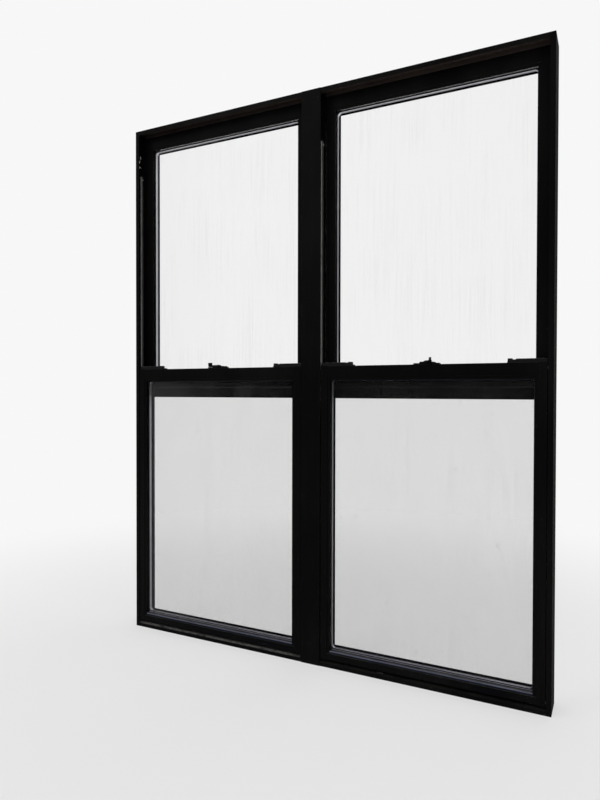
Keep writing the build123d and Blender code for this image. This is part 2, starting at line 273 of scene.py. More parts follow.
class Graph:
    """Node tree of one material."""

    def __init__(self, name):
        self.material = bpy.data.materials.new(name)
        self.material.use_nodes = True
        self.tree = self.material.node_tree
        self.tree.nodes.clear()
        self.output = self.tree.nodes.new("ShaderNodeOutputMaterial")

    def put(self, socket, value):
        """Links or sets one input."""
        if isinstance(value, Value):
            self.tree.links.new(value.socket, socket)
        elif isinstance(value, tuple) and len(value) == 3 and socket.type == "RGBA":
            socket.default_value = (*value, 1.0)
        else:
            socket.default_value = value

    def node(self, kind, settings=None, out=0, **inputs):
        """Any node: its type, its settings, then its inputs by name or by number, as in i0."""
        made = self.tree.nodes.new(kind)
        for name, value in (settings or {}).items():
            setattr(made, name, value)
        for name, value in inputs.items():
            if name[0] == "i" and name[1:].isdigit():
                self.put(made.inputs[int(name[1:])], value)
            else:
                self.put(made.inputs[name.replace("_", " ")], value)
        return Value(self, made.outputs[out])

    def math(self, operation, a, b=0.0, clamp=False):
        """Sum, product and the like of two values."""
        return self.node("ShaderNodeMath", {"operation": operation, "use_clamp": clamp}, i0=a, i1=b)

    def vector(self, operation, a, b, out=0):
        """The same for two vectors."""
        return self.node("ShaderNodeVectorMath", {"operation": operation}, out=out, i0=a, i1=b)

    def mix(self, factor, a, b):
        """Colour mix."""
        settings = {"data_type": "RGBA", "blend_type": "MIX"}
        return self.node("ShaderNodeMix", settings, out=2, i0=factor, i6=a, i7=b)

    def ramp(self, value, low, high):
        """Smooth step from 0 at low to 1 at high."""
        settings = {"interpolation_type": "SMOOTHSTEP"}
        return self.node("ShaderNodeMapRange", settings, Value=value, From_Min=low, From_Max=high)

    def place(self, scale=(1, 1, 1), shift=(0, 0, 0)):
        """Object coordinates, scaled and shifted."""
        coordinates = self.node("ShaderNodeTexCoord", out=3)
        return self.node("ShaderNodeMapping", Vector=coordinates, Scale=scale, Location=shift)

    def axes(self):
        """Object coordinates as three values."""
        split = self.node("ShaderNodeSeparateXYZ", Vector=self.node("ShaderNodeTexCoord", out=3))
        return [Value(self, split.socket.node.outputs[i]) for i in range(3)]

    def facing(self):
        """Object normal as three values."""
        split = self.node("ShaderNodeSeparateXYZ", Vector=self.node("ShaderNodeTexCoord", out=1))
        return [Value(self, split.socket.node.outputs[i]) for i in range(3)]

    def noise(self, size, detail=4.0, rough=0.5, stretch=(1, 1, 1), shift=(0, 0, 0)):
        """Fractal noise with features about as large as size, in metres."""
        where = self.place(stretch, shift)
        return self.node("ShaderNodeTexNoise", Vector=where, Scale=1 / size, Detail=detail, Roughness=rough)

    def cells(self, size):
        """Distance to the nearest of scattered points, about size apart."""
        return self.node("ShaderNodeTexVoronoi", {"feature": "F1"}, Vector=self.place(), Scale=1 / size)

    def bump(self, height, distance, strength, normal=None):
        """Normal that a height gives, laid over another normal."""
        extra = {"Normal": normal} if normal else {}
        return self.node("ShaderNodeBump", Strength=strength, Distance=distance, Height=height, **extra)

    def show(self, surface):
        """Ends the tree with a surface."""
        self.tree.links.new(surface.socket, self.output.inputs["Surface"])
        return self.material

    def finish(self, **inputs):
        """Principled surface with the given inputs."""
        return self.show(self.node("ShaderNodeBsdfPrincipled", **inputs))


def edge_mask(graph, radius, low, high):
    """1 along outside and inside edges within radius."""
    rounded = graph.node("ShaderNodeBevel", {"samples": 6}, Radius=radius)
    plain = graph.node("ShaderNodeNewGeometry", out=1)
    return graph.ramp(1.0 - graph.vector("DOT_PRODUCT", rounded, plain, out=1), low, high)


def coat(
    name,
    looks,
    tone=1.0,
    gloss=0.0,
    ledge=0.0,
    worn=1.0,
    tint=(1.0, 1.0, 1.06),
    shine=0.0,
    extra=None,
):
    """Black powder coat: fine grain, smudges, dust on level faces and chips on edges down to the metal.

    tone and gloss change the albedo and the roughness, ledge the dust and worn the chips. shine is the
    sheen of the faces that look down, and extra(graph) gives masks and colours to lay over the coat.
    """
    graph = Graph(name)
    up = graph.facing()[2]
    smudge = graph.noise(0.06, 5, 0.6)
    cloud = graph.noise(0.23, 3, 0.55, (1, 1, 0.4))
    wipe = graph.noise(0.012, 4, 0.65, (1, 1, 0.12))
    grain = graph.noise(looks.grain, 2, 0.5)
    level = graph.ramp(up, 0.35, 0.95)
    fine = graph.noise(0.0035, 6, 0.75)
    dust = level * (0.35 + ledge) * graph.ramp(smudge * 0.6 + fine * 0.5, 0.38, 0.72) * looks.dust
    film = graph.ramp(cloud * 0.6 + wipe * 0.45, 0.46, 0.74) * 0.007 * looks.dust
    spots = graph.ramp(graph.cells(0.019), 0.052, 0.028) * graph.ramp(graph.noise(0.05, 2), 0.56, 0.6)
    edges = edge_mask(graph, 0.0009, 0.03, 0.2)
    chip = edges * graph.ramp(graph.noise(0.007, 6, 0.7), 0.66, 0.69) * looks.wear * worn
    base = tuple(looks.coat_tone * tone * c for c in tint)
    pale = tuple(looks.coat_tone * tone * c for c in (2.31, 2.163, 2.1))
    dust_tone, spot_tone, metal_tone = tuple(looks.dust_tone), (0.30, 0.29, 0.27), (0.42, 0.42, 0.41)
    body = graph.mix(graph.ramp(cloud, 0.35, 0.68), base, pale)
    body = graph.mix((dust + film).clamp(), body, dust_tone)
    body = graph.mix(spots * 0.25, body, spot_tone)
    # Masks and colours from extra, some of them real dirt and some painted light, laid over the coat; they
    # also raise the roughness as dust does
    for overlay_mask, colour in extra(graph) if extra else ():
        body = graph.mix((overlay_mask * (0.45 + fine)).clamp(), body, colour)
        dust = dust + overlay_mask
    body = graph.mix(chip.clamp(), body, metal_tone)
    rough = looks.coat_gloss + gloss + (smudge - 0.5) * 0.3 + (wipe - 0.5) * 0.18
    rough = rough + dust * 0.5 + spots * 0.2
    height = grain * 0.6 + wipe * 0.4 - chip * 1.2
    eased = graph.node("ShaderNodeBevel", {"samples": 4}, Radius=0.0006)
    return graph.finish(
        Base_Color=body,
        Roughness=rough.clamp(),
        Metallic=(chip * 0.9).clamp(),
        Specular_IOR_Level=looks.coat_specular,
        Coat_Weight=(graph.ramp(up, -0.5, -0.95) * shine * (0.6 + smudge * 0.6)).clamp(),
        Coat_Roughness=0.14,
        Normal=graph.bump(height, 0.00035, 0.35, eased),
    )


def sill_grime(graph):
    """Grime on the ledge, thick on the left unit and thin on the right, and one scratch."""
    x, y, z = graph.axes()
    ledge_foot, ledge_top, ledge_back = 0.0112, 0.0125, -0.006
    scratch_middle, scratch_half, scratch_width = 0.228, 0.0095, 0.0022
    patchy = graph.ramp(graph.noise(0.011, 5, 0.7, (0.35, 1, 1)), 0.3, 0.52)
    speckle = graph.ramp(graph.noise(0.0026, 4, 0.75, (0.5, 1, 1)), 0.44, 0.6)
    left = graph.ramp(x, 0.02, -0.02) * 0.94 + 0.03
    ledge = graph.ramp(z, ledge_foot, ledge_top) * (y < ledge_back) * (graph.facing()[2] > 0.3)
    zigzag = x.wave(0.0075) * 0.014 - 0.036
    scratch = (abs(y - zigzag) < scratch_width / 2) * (abs(x - scratch_middle) < scratch_half) * (z > 0.011)
    overlay_mask = (ledge * left * patchy * (0.25 + speckle * 0.75) + scratch * 1.5).clamp()
    return [(overlay_mask, (0.20, 0.195, 0.185))]


def head_tint_and_bounce_light(graph):
    """Painted bounce light: a brownish light tone on the undersides of the heads, standing in for light
    from the sill and the floor below, and a brownish tone on the faces behind their front legs; both
    thinner toward the left.
    """
    x, y = graph.axes()[:2]
    leg_front, leg_back = -0.037, -0.034
    underside_bounce_light = graph.ramp(graph.facing()[2], -0.5, -0.9)
    cloud = graph.ramp(graph.noise(0.05, 5, 0.65, (0.4, 1, 1)), 0.3, 0.7)
    deep = graph.ramp(y, leg_front, leg_back) * (graph.facing()[2] < 0.3)
    share = graph.ramp(x, -0.7, 0.6) * 0.5 + 0.4
    return [
        # Painted bounce light on the undersides first, then the brownish tone on the faces behind the front
        # legs
        (underside_bounce_light * share * (0.6 + cloud * 0.4), (0.046, 0.034, 0.030)),
        (deep * share * (0.5 + cloud * 0.5), (0.045, 0.034, 0.030)),
    ]


def bead_painted_highlight(graph):
    """Painted highlight on the bead under a lower pane: a bluish sky reflection painted into its colour in
    lines along the rail, and a brighter painted highlight on its edge.
    """
    z = graph.axes()[2]
    foot = sight("left", "lower")[2]
    tall = 0.0082
    bead = graph.ramp(z, foot - tall - 0.0006, foot - tall) * (z < foot + 0.001)
    bead = bead * (graph.facing()[1] < -0.3)
    lines = graph.ramp(graph.noise(0.0021, 3, 0.6, (0.02, 1, 1)), 0.35, 0.6)
    broad = graph.ramp(graph.noise(0.09, 3, 0.6, (0.5, 1, 1)), 0.3, 0.6)
    edge = bead * graph.ramp(z, foot - 0.0045, foot - 0.0025)
    # Painted reflection on the bead and a painted highlight on its edge, both as bluish colours
    return [
        (bead * (0.1 + lines * 0.3) * (0.6 + broad * 0.4), (0.03, 0.037, 0.06)),
        (edge * (0.4 + lines * 0.3), (0.20, 0.21, 0.29)),
    ]


def raw_side(graph):
    """Raw, rough outer side of the jambs."""
    outside = corners("outer_jamb_right")[1].x - 0.0005
    side = (abs(graph.axes()[0]) > outside) * graph.ramp(abs(graph.facing()[0]), 0.6, 0.9)
    return [(side * 0.9, (0.010, 0.0095, 0.009))]


def glazing(name, looks, node, streaks):
    """Clear float glass: faint tint, rain streaks and specks outside, smears and mist inside."""
    graph = Graph(name)
    x, y = graph.axes()[:2]
    middle, half = depth(node)
    outer = graph.ramp(abs(y - middle), half - 0.001, half - 0.0005)
    outside = outer * (y > middle)
    inside = outer * (y < middle)
    run = graph.noise(0.009, 5, 0.62, (1, 1, 0.035))
    broad = graph.noise(0.075, 4, 0.6, (1, 1, 0.22))
    patch = graph.noise(0.21, 3, 0.5)
    rain = graph.ramp(run * 0.62 + broad * 0.45, 0.48, 0.7) * graph.ramp(patch, 0.28, 0.6)
    specks = graph.ramp(graph.cells(0.011), 0.075, 0.03) * graph.ramp(graph.noise(0.03, 3), 0.48, 0.56)
    mist = graph.ramp(broad * 0.5 + patch * 0.6, 0.4, 0.75) * 0.1 + graph.ramp(x, -0.3, -0.68)
    smear = graph.ramp(graph.noise(0.09, 2, 0.5, (1, 1, 0.5), (0.3, 0, 0.2)), 0.5, 0.8)
    veil = outside * (rain * streaks + specks * 0.5)
    veil = veil + inside * (smear * 0.02 + specks * 0.03 + mist * 0.4)
    alpha = (looks.glass_haze + veil * looks.glass_dirt).clamp()
    tone = graph.mix((veil * 4.0).clamp(), (0.060, 0.052, 0.052), (0.40, 0.39, 0.40))
    return graph.finish(
        Base_Color=tone,
        Roughness=(0.02 + veil * 0.6).clamp(),
        Alpha=alpha,
        IOR=1.5,
    )


def metal(name, colour, rough, streak=(1, 1, 0.04), grime=0.4, metallic=1.0, flank_shade=0.0):
    """Metal with drawing lines, tarnish and grime, and with painted shade on the flanks of a round tube."""
    graph = Graph(name)
    lines = graph.noise(0.0012, 3, 0.6, streak)
    stain = graph.noise(0.035, 5, 0.65)
    dirt = graph.ramp(stain * 0.7 + graph.noise(0.006, 4, 0.7) * 0.4, 0.5, 0.72) * grime
    # Painted shade: where flank_shade is given, the sides of a round tube that face the stile and the jamb
    # are painted near black, less metallic and rougher
    side = graph.ramp(abs(graph.facing()[0]), 0.35, 0.5) * flank_shade
    tone = graph.mix(graph.ramp(stain, 0.35, 0.7), colour, tuple(c * 0.8 for c in colour))
    tone = graph.mix(dirt.clamp(), tone, (0.06, 0.055, 0.05))
    tone = graph.mix(side, tone, (0.004, 0.004, 0.0045))
    return graph.finish(
        Base_Color=tone,
        Roughness=(rough + (lines - 0.5) * 0.25 + (dirt + side) * 0.3).clamp(),
        Metallic=(metallic - dirt - side).clamp(),
        Normal=graph.bump(lines, 0.0001, 0.4),
    )


def spacer_bar(name, node, tone_with_painted_light):
    """Spacer with rows of breather slits, and a dark line of sealant along each pane; its brightness, set
    per copy, holds painted light.
    """
    graph = Graph(name)
    x, y, z = graph.axes()
    bar_half, slit_row, slit_half = 0.0049, 0.0022, 0.0003
    away = abs(y - depth(node)[0])
    seal = graph.ramp(away + (graph.noise(0.01, 3) - 0.5) * 0.001, bar_half, bar_half + 0.0004)
    lines = graph.noise(0.0015, 3, 0.6, (0.05, 1, 0.05))
    stain = graph.noise(0.12, 3, 0.6)
    slit = ((x + z).wave(0.0042) < 0.2) * (abs(away - slit_row) < slit_half)
    clean, dull = (tuple(tone_with_painted_light * c for c in shade) for shade in ((1.0, 1.0, 1.04), (0.8, 0.8, 0.86)))
    tone = graph.mix(graph.ramp(stain, 0.3, 0.7), clean, dull)
    tone = graph.mix(slit * 0.85, tone, (0.03, 0.03, 0.03))
    tone = graph.mix(seal, tone, (0.006, 0.008, 0.034))
    return graph.finish(
        Base_Color=tone,
        Roughness=(0.36 + (lines - 0.5) * 0.3 + slit * 0.3 + seal * 0.2).clamp(),
        Metallic=(0.85 - slit * 0.8 - seal).clamp(),
        Normal=graph.bump(lines - slit * 2.0, 0.0002, 0.4),
    )


def moulded(name, tone, rough, looks, ribs=0.0, settle=0.4, even=0.0):
    """Moulded plastic or rubber: fine texture, scuffs, settled dust, and ribs so far apart if given."""
    graph = Graph(name)
    up = graph.facing()[2]
    grain = graph.noise(0.0006, 3, 0.6)
    scuff = graph.ramp(graph.noise(0.004, 5, 0.7, (1, 0.2, 1)), 0.6, 0.75)
    patchy = graph.ramp(graph.noise(0.01, 6, 0.75), 0.42 - even * 0.4, 0.68)
    dust = graph.ramp(up, 0.2, 0.7) * patchy * looks.dust * settle
    body = graph.mix(scuff * 0.3, tone, tuple(min(1.0, c * 2.2 + 0.004) for c in tone))
    body = graph.mix(dust.clamp(), body, (0.31, 0.31, 0.36))
    height = grain
    if ribs:
        height = grain + graph.ramp(graph.axes()[0].wave(ribs), 0.16, 0.3) * 6.0
    return graph.finish(
        Base_Color=body,
        Roughness=(rough + (grain - 0.5) * 0.2 + dust * 0.3 - scuff * 0.12).clamp(),
        Specular_IOR_Level=0.1,
        Normal=graph.bump(height, 0.0002, 0.5),
    )


def weave(name, looks):
    """Insect mesh: woven threads with open squares between them."""
    graph = Graph(name)
    x, _, z = graph.axes()
    share = looks.thread_width / looks.thread_pitch / 2
    warp = graph.ramp(0.5 - x.wave(looks.thread_pitch), share + 0.03, share)
    weft = graph.ramp(0.5 - z.wave(looks.thread_pitch), share + 0.03, share)
    clog = graph.ramp(graph.noise(0.03, 5, 0.7), 0.62, 0.8) * 0.12
    cover = graph.math("MAXIMUM", warp, weft) * 0.28 + 0.02
    room = graph.facing()[1] < -0.5
    soil = graph.ramp(graph.noise(0.02, 4), 0.4, 0.7)
    return graph.finish(
        Base_Color=graph.mix(soil, (0.012, 0.012, 0.013), (0.06, 0.058, 0.054)),
        Roughness=0.6,
        Alpha=((cover + clog) * room).clamp(),
        Specular_IOR_Level=0.3,
        Normal=graph.bump(warp + weft, 0.0003, 0.5),
    )


# Mesh building


def circle(radius, count, middle=(0.0, 0.0)):
    """Points on a circle, evenly spaced."""
    turns = [2 * math.pi * i / count for i in range(count)]
    return [(middle[0] + radius * math.cos(a), middle[1] + radius * math.sin(a)) for a in turns]


class Solid:
    """Collects simple closed forms into one mesh piece."""

    def __init__(self):
        self.mesh = bmesh.new()

    def prism(self, points, axis, low, high):
        """Extrusion of an outline along axis 0, 1 or 2. The outline's axes are the other two, in order."""
        others = [i for i in range(3) if i != axis]
        rings = []
        for at in (low, high):
            ring = []
            for a, b in points:
                place = [0.0, 0.0, 0.0]
                place[axis], place[others[0]], place[others[1]] = at, a, b
                ring.append(self.mesh.verts.new(place))
            rings.append(ring)
        self.bridge(rings[0], rings[1])
        self.mesh.faces.new(list(reversed(rings[0])))
        self.mesh.faces.new(rings[1])

    def bridge(self, first, second):
        """Quads between two closed rings of equal count."""
        count = len(first)
        for i in range(count):
            j = (i + 1) % count
            self.mesh.faces.new((first[i], first[j], second[j], second[i]))

    def box(self, low, high):
        """Box between two corners."""
        points = [(low[0], low[1]), (high[0], low[1]), (high[0], high[1]), (low[0], high[1])]
        self.prism(points, 2, low[2], high[2])

    def rings(self, rings, close=False):
        """Skin over a list of rings of points."""
        made = [[self.mesh.verts.new(p) for p in ring] for ring in rings]
        for first, second in zip(made, made[1:]):
            self.bridge(first, second)
        if close:
            self.bridge(made[-1], made[0])
        else:
            self.mesh.faces.new(list(reversed(made[0])))
            self.mesh.faces.new(made[-1])

    def screw(self, centre, normal, radius, rise, sides=20):
        """Pan head with a cross recess, standing on centre and facing along normal."""
        turn = Vector((0, 0, 1)).rotation_difference(Vector(normal)).to_matrix().to_4x4()
        place = Matrix.Translation(centre) @ turn
        slot, arm = radius * 0.13, radius * 0.56
        plus = [(slot, slot), (slot, arm), (-slot, arm), (-slot, slot), (-arm, slot), (-arm, -slot)]
        plus += [(-slot, -slot), (-slot, -arm), (slot, -arm), (slot, -slot), (arm, -slot), (arm, slot)]
        profile = [(radius, 0.0), (radius, rise * 0.35), (radius * 0.9, rise * 0.8), (radius * 0.72, rise)]
        made = []
        for r, h in profile:
            made.append([self.mesh.verts.new(place @ Vector((a, b, h))) for a, b in circle(r, sides)])
        for first, second in zip(made, made[1:]):
            self.bridge(first, second)
        self.mesh.faces.new(list(reversed(made[0])))
        top = [self.mesh.verts.new(place @ Vector((a, b, rise))) for a, b in plus]
        floor = [self.mesh.verts.new(place @ Vector((a * 0.7, b * 0.7, rise * 0.35))) for a, b in plus]
        edges = []
        for ring in (made[-1], top):
            for i, vert in enumerate(ring):
                after = ring[(i + 1) % len(ring)]
                edges.append(self.mesh.edges.get((vert, after)) or self.mesh.edges.new((vert, after)))
        bmesh.ops.triangle_fill(self.mesh, use_beauty=True, edges=edges)
        self.bridge(top, floor)
        self.mesh.faces.new(floor)

    def object(self, name, body, material, bevel=0.0, smooth=40.0):
        """Finished piece that rides on a body."""
        bmesh.ops.recalc_face_normals(self.mesh, faces=self.mesh.faces)
        data = bpy.data.meshes.new(name)
        self.mesh.to_mesh(data)
        self.mesh.free()
        data.materials.append(material)
        piece = bpy.data.objects.new(name, data)
        bpy.context.scene.collection.objects.link(piece)
        if bevel:
            modifier = piece.modifiers.new("Soft edges", "BEVEL")
            modifier.width, modifier.segments, modifier.limit_method = bevel, 2, "ANGLE"
        data.shade_smooth()
        data.set_sharp_from_angle(angle=math.radians(smooth))
        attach(piece, body)


def corners(node):
    """Lowest and highest corner of a CAD node."""
    low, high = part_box(node)
    return Vector(low), Vector(high)


def depth(node):
    """Middle of a CAD node from room to street, and half its extent that way."""
    low, high = corners(node)
    return (low.y + high.y) / 2, (high.y - low.y) / 2


def hinge(joint):
    """Point on the axis of a joint."""
    return Vector(next(row["pos_m"] for row in frame["joints"] if row["name"] == joint))


def sight(unit, sash):
    """Left, right, lower and upper edge of the opening that a sash leaves around its pane."""
    low, high = corners(f"{unit}_{sash}_glass")
    hidden, block = 0.010, 0.0063
    return low.x + hidden, high.x - hidden, low.z + block, high.z - hidden


# Operators


class SASHWINDOW_OT_finishes(Operator):
    """Give every CAD piece its finish"""

    bl_idname = "sashwindow.finishes"
    bl_label = "Finishes"

    def execute(self, context):
        looks = context.scene.sashwindow_looks
        # The balance tubes get painted shade on their flanks, standing in for the shade in the narrow gaps
        # beside them
        tube = metal("Tube_grey", tuple(looks.tube_tone), 0.42, grime=0.35, metallic=0.35, flank_shade=0.95)
        # Painted sky reflection: the bottom rail's coat is lighter and tinted blue, and its bead gets a
        # painted highlight through the extra
        rail = coat("Coat_bottom_rail", looks, 1.3, 0.0, 0.1, tint=(1.0, 1.05, 1.5), extra=bead_painted_highlight)
        # The first rule whose text is in a node's name gives its finish
        rules = [
            ("sills", coat("Coat_sill", looks, 1.3, 0.05, -0.3, extra=sill_grime)),
            ("outer_jamb", coat("Coat_jamb", looks, 1.0, extra=raw_side)),
            ("inner_jambs", coat("Coat_jamb_inner", looks, 1.0)),
            ("heads", coat("Coat_head", looks, 1.6, 0.04, 0.0, 1.0, (1.35, 1.02, 0.95), extra=head_tint_and_bounce_light)),
            ("mull_cover", coat("Coat_cover", looks, 1.0, -0.04)),
            ("mull_bar", coat("Coat_mull", looks, 1.6, 0.05)),
            ("screen_frames", coat("Coat_screen", looks, 1.8, 0.08, 0.3)),
            ("insect_mesh", weave("Mesh_weave", looks)),
            ("balance_tubes", tube),
            ("_rods", metal("Rod_steel", (0.42, 0.42, 0.43), 0.35)),
            # Painted light: the upper spacer is painted brighter than the lower one, standing in for the
            # light it catches against the sky
            ("lower_spacer", spacer_bar("Spacer_lower", "left_lower_glass", 0.45)),
            ("upper_spacer", spacer_bar("Spacer_upper", "left_upper_glass", 0.72)),
            ("_pivot_bars", metal("Pivot_steel", (0.45, 0.45, 0.46), 0.4)),
            ("_shoes", moulded("Nylon_shoe", (0.010, 0.010, 0.011), 0.5, looks)),
            ("_latch_housings", moulded("Nylon_housing", (0.003, 0.003, 0.0035), 0.42, looks)),
            ("_latch_bolt", moulded("Nylon_bolt", (0.008, 0.008, 0.009), 0.45, looks, 0.002)),
            ("_lock", coat("Coat_lock", looks, 1.5, -0.08, 0.0, 1.6)),
            ("_keeper", coat("Coat_keeper", looks, 1.5, -0.05, 0.0, 1.6)),
            ("lower_glass", glazing("Glass_lower", looks, "left_lower_glass", 0.28)),
            ("upper_glass", glazing("Glass_upper", looks, "left_upper_glass", 0.5)),
            ("_lower_bottom_rail", rail),
            ("_lower_", coat("Coat_lower_sash", looks, 1.0, 0.0, 0.1, shine=0.6)),
            ("_upper_", coat("Coat_upper_sash", looks, 1.15, 0.03, 0.1, shine=1.0)),
        ]
        for name, node in NODES.items():
            found = [material for part, material in rules if part in name]
            if not found:
                raise RuntimeError(f"no finish for {name}")
            for slot in node.material_slots:
                slot.material = found[0]
        return {"FINISHED"}


class SASHWINDOW_OT_seals(Operator):
    """Add the glazing gaskets, the bulb seals and the pile strips"""

    bl_idname = "sashwindow.seals"
    bl_label = "Seals"

    def execute(self, context):
        looks, trim = context.scene.sashwindow_looks, context.scene.sashwindow_trim
        rubber = moulded("Rubber_black", (0.004, 0.0045, 0.007), 0.62, looks)
        dusty = moulded("Rubber_dusty", (0.005, 0.006, 0.010), 0.6, looks, settle=1.5, even=1.0)
        pile = moulded("Pile_black", (0.012, 0.012, 0.013), 0.95, looks)
        for unit in UNITS:
            for sash in ("lower", "upper"):
                low, high = corners(f"{unit}_{sash}_glass")
                inner = dusty if sash == "lower" else rubber
                foot = 0.0045 if sash == "lower" else 0.0
                self.ring(unit, sash, "room", 0.0, 0.0, low.y, -trim.gasket, inner)
                self.ring(unit, sash, "outside", 0.003, foot, high.y, trim.gasket * 0.8, rubber)
            self.bulb(unit, 0.012, rubber)
            self.pile(unit, 0.010, trim, pile)
        return {"FINISHED"}

    def ring(self, unit, sash, side, inset, foot, face, rise, material):
        """Rounded fillet along the four edges of a pane, taller by foot along the lower one."""
        left, right, low, high = sight(unit, sash)
        leg = abs(rise)
        section = [(0.0, 0.0), (0.0, 1.0), (0.3, 0.96), (0.62, 0.75), (0.86, 0.42), (1.0, 0.0)]
        rings = []
        for across, out in section:
            t = inset + across * leg
            y, z0, z1 = face + out * rise, low + t + across * foot, high - t
            rings.append([(left + t, y, z0), (right - t, y, z0), (right - t, y, z1), (left + t, y, z1)])
        solid = Solid()
        solid.rings(rings, close=True)
        solid.object(f"{unit}_{sash}_gasket_{side}", f"{unit}_{sash}_sash", material, smooth=50)

    def bulb(self, unit, inset, material):
        """Soft D-shaped seal under the foot of the lower sash."""
        low, high = corners(f"{unit}_lower_bottom_rail")
        y, z = (low.y + high.y) / 2, corners(f"{unit}_lower_stile_left")[0].z
        reach, half = 0.0060, 0.0042
        points = [(y - half, z), (y + half, z)]
        for i in range(1, 12):
            a = math.pi * i / 12
            points.append((y + half * math.cos(a), z - reach * math.sin(a)))
        solid = Solid()
        solid.prism(points, 0, low.x + inset, high.x - inset)
        solid.object(f"{unit}_bulb_seal", f"{unit}_lower_sash", material, smooth=60)

    def pile(self, unit, inset, trim, material):
        """Brush strip on the back of the meeting rail: a backing with uneven tufts."""
        dice = random.Random(trim.seed)
        low, high = corners(f"{unit}_lower_top_rail")
        x0, x1, face, z0 = low.x + inset, high.x - inset, high.y, high.z - 0.028
        solid = Solid()
        solid.box((x0, face, z0 - 0.001), (x1, face + 0.0006, z0 + trim.pile + 0.001))
        steps = int((x1 - x0) / 0.0035)
        rings = []
        for i in range(steps + 1):
            x = x0 + (x1 - x0) * i / steps
            reach = 0.0021 + dice.uniform(-0.0003, 0.0003)
            sway = dice.uniform(-0.0004, 0.0004)
            rings.append(
                [
                    (x, face + 0.0004, z0),
                    (x, face + reach, z0 + 0.001 + sway),
                    (x, face + reach, z0 + trim.pile - 0.001 + sway),
                    (x, face + 0.0004, z0 + trim.pile),
                ]
            )
        solid.rings(rings)
        solid.object(f"{unit}_meeting_pile", f"{unit}_lower_sash", material)


class SASHWINDOW_OT_fasteners(Operator):
    """Add the screws of the locks, latches, corners and balances, and the levers' rivets and tabs"""

    bl_idname = "sashwindow.fasteners"
    bl_label = "Fasteners"

    def execute(self, context):
        looks, trim = context.scene.sashwindow_looks, context.scene.sashwindow_trim
        black = coat("Screw_black", looks, 2.2, -0.1, 0.0, 2.0)
        zinc = metal("Screw_zinc", (0.45, 0.45, 0.44), 0.38)
        for unit in UNITS:
            self.lock_parts(unit, trim, black)
            for sash in ("lower", "upper"):
                self.corner_screws(unit, sash, zinc)
        self.balance_screws(zinc)
        return {"FINISHED"}

    def lock_parts(self, unit, trim, material):
        """Screws of the lock and the latches, and the rivet and tab of the lever."""
        radius, rise = trim.screw_radius, trim.screw_rise
        # Lock screws: distance from the lever's axis, and height of their seat
        apart, seat = 0.033, 0.0034
        # Latch screws: distance from the ends of the housings, and behind their middle
        inset, behind = 0.066, 0.006
        # Lever: radius and rise of its rivet, and both parts' height above the joint
        rivet_radius, rivet_rise, rivet_lift, tab_lift = 0.0040, 0.0014, 0.003, 0.0003
        hub = hinge(f"{unit}_lock_turn")
        floor = corners(f"{unit}_lock_base")[0].z + seat
        solid = Solid()
        for side in SIDES.values():
            solid.screw((hub.x + side * apart, hub.y, floor), (0, 0, 1), radius, rise)
        low, high = corners(f"{unit}_latch_housings")
        for side in SIDES.values():
            x = hub.x + side * ((high.x - low.x) / 2 - inset)
            solid.screw((x, (low.y + high.y) / 2 + behind, high.z), (0, 0, 1), radius, rise * 0.6)
        solid.object(f"{unit}_lock_screws", f"{unit}_lower_sash", material, smooth=30)
        solid = Solid()
        self.rivet(solid, (hub.x, hub.y, hub.z + rivet_lift), rivet_radius, rivet_rise)
        solid.object(f"{unit}_lever_rivet", f"{unit}_lock", material, smooth=50)
        solid = Solid()
        self.tab(solid, hub.xy, hub.z + tab_lift, math.radians(LEVER_ANGLES[unit]))
        solid.object(f"{unit}_lever_tab", f"{unit}_lock", material, bevel=0.0006)

    def corner_screws(self, unit, sash, material):
        """Three screws through the outer side of each stile into the rails."""
        radius, rise = 0.0036, 0.0012
        solid = Solid()
        for label, side in SIDES.items():
            low, high = corners(f"{unit}_{sash}_stile_{label}")
            face = high.x if side > 0 else low.x
            for y, z in ((0.024, low.z + 0.012), (0.008, high.z - 0.014), (0.026, high.z - 0.026)):
                solid.screw((face, low.y + y, z), (side, 0, 0), radius, rise)
        solid.object(f"{unit}_{sash}_corner_screws", f"{unit}_{sash}_sash", material, smooth=30)

    def balance_screws(self, material):
        """A screw near the top of each balance tube, on the side toward the sash."""
        # From the middle of a unit to the middle of a tube, and the tube's radius
        reach, tube = 0.3358, 0.0047
        radius, rise = 0.0032, 0.0014
        heights = {"lower": 1.623, "upper": 1.689}
        solid = Solid()
        for unit in UNITS:
            middle = hinge(f"{unit}_tilt").x
            for side in SIDES.values():
                for sash, z in heights.items():
                    place = (middle + side * (reach - tube), depth(f"{unit}_{sash}_rods")[0], z)
                    solid.screw(place, (-side, 0, 0), radius, rise)
        solid.object("balance_screws", "frame", material, smooth=30)

    def tab(self, solid, axis, underside, angle):
        """Finger tab that hangs under the lever's tip and clears the housing's wings."""
        near, far, half, drop, bite = 0.027, 0.039, 0.0034, 0.0032, 0.0004
        turn = Matrix.Rotation(angle, 2)
        outline = [(near, -half), (far, -half), (far, half), (near, half)]
        outline = [tuple(axis + turn @ Vector(point)) for point in outline]
        solid.prism(outline, 2, underside - drop, underside + bite)

    def rivet(self, solid, centre, radius, rise):
        """Low domed rivet head."""
        rings = []
        for share in (1.0, 0.96, 0.8, 0.55, 0.25):
            h = rise * math.sqrt(1 - share * share)
            rings.append([(a, b, centre[2] + h) for a, b in circle(radius * share, 24, centre)])
        solid.rings(rings)


